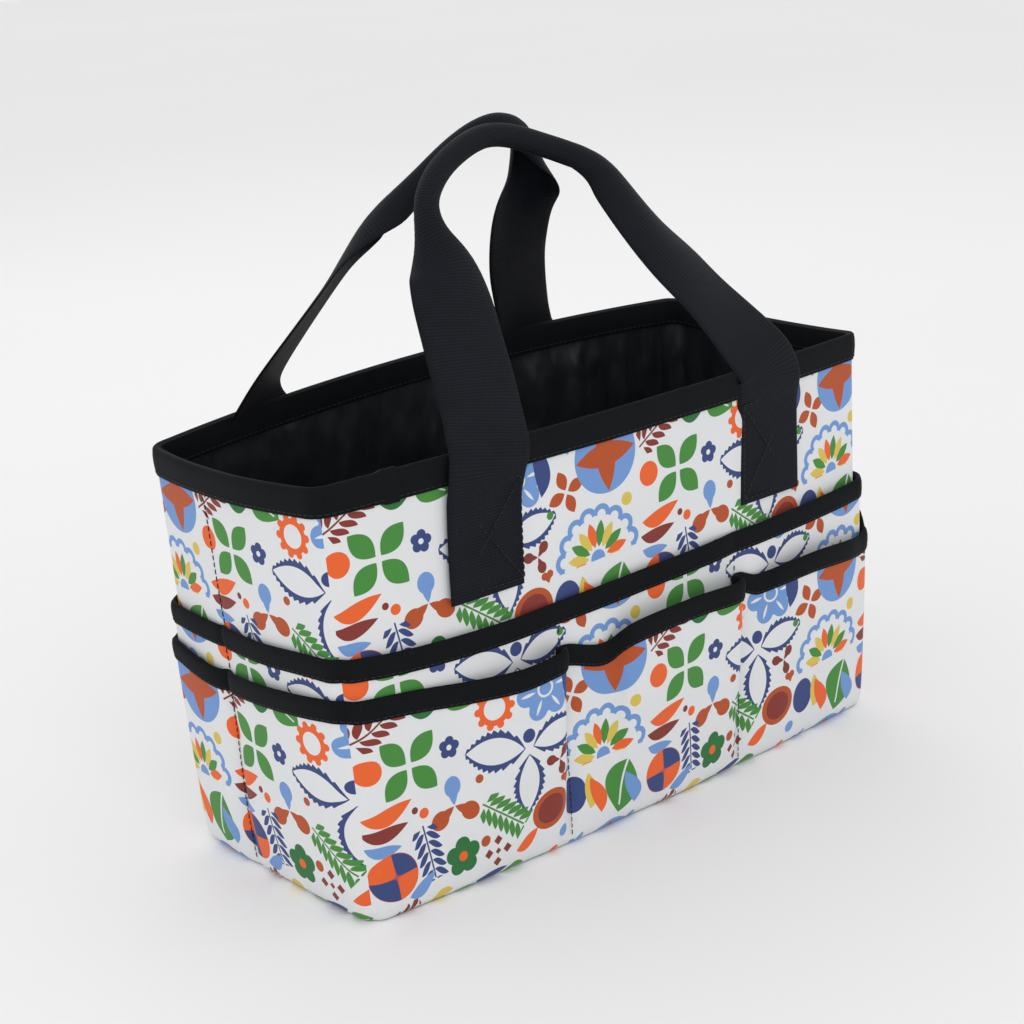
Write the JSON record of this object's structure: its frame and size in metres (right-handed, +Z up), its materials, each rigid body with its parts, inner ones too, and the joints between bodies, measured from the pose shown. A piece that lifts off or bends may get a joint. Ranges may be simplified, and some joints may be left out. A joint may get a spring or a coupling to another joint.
{
  "type": "garden tool bag",
  "caption": "Open rectangular garden tote with a printed cloth shell, two tiers of outer pockets all round, black binding and two swinging webbing handles.",
  "frame": {"origin": "middle of the base, on the surface that the bag stands on", "axes": "+X along the bag, front wall towards -Y, +Z up"},
  "size_m": [0.3368, 0.158, 0.3114],
  "materials": {
    "printed_cloth": "matte plain-weave polyester, white ground with a printed folk-floral pattern",
    "lining_cloth": "black lining cloth with a faint satin sheen",
    "binding_tape": "black woven binding tape",
    "handle_webbing": "black ribbed polypropylene webbing",
    "base_board": "stiffening board, sealed inside the base",
    "grip_core": "soft cord filler, sealed inside the rolled grip"
  },
  "bodies": {
    "bag": {"front_panel": "printed_cloth", "back_panel": "printed_cloth", "left_side_panel": "printed_cloth", "right_side_panel": "printed_cloth", "bottom_panel": "printed_cloth", "base_board": "base_board", "front_lining": "lining_cloth", "back_lining": "lining_cloth", "left_lining": "lining_cloth", "right_lining": "lining_cloth", "bottom_lining": "lining_cloth", "rim_binding": "binding_tape", "front_upper_pocket": "printed_cloth", "front_upper_binding": "binding_tape", "front_lower_pocket": "printed_cloth", "front_lower_binding": "binding_tape", "back_upper_pocket": "printed_cloth", "back_upper_binding": "binding_tape", "back_lower_pocket": "printed_cloth", "back_lower_binding": "binding_tape", "left_upper_pocket": "printed_cloth", "left_upper_binding": "binding_tape", "left_lower_pocket": "printed_cloth", "left_lower_binding": "binding_tape", "right_upper_pocket": "printed_cloth", "right_upper_binding": "binding_tape", "right_lower_pocket": "printed_cloth", "right_lower_binding": "binding_tape", "front_left_tab": "handle_webbing", "front_right_tab": "handle_webbing", "back_left_tab": "handle_webbing", "back_right_tab": "handle_webbing"},
    "front_handle": {"front_handle_webbing": "handle_webbing", "front_grip_core": "grip_core"},
    "rear_handle": {"rear_handle_webbing": "handle_webbing", "rear_grip_core": "grip_core"}
  },
  "joints": [
    {"name": "front_handle_swing", "type": "hinge", "parent": "bag", "child": "front_handle", "pos_m": [0, -0.0728, 0.192], "axis": [1, 0, 0], "range_deg": [0, 200]},
    {"name": "rear_handle_swing", "type": "hinge", "parent": "bag", "child": "rear_handle", "pos_m": [0, 0.0728, 0.192], "axis": [-1, 0, 0], "range_deg": [0, 200]}
  ]
}
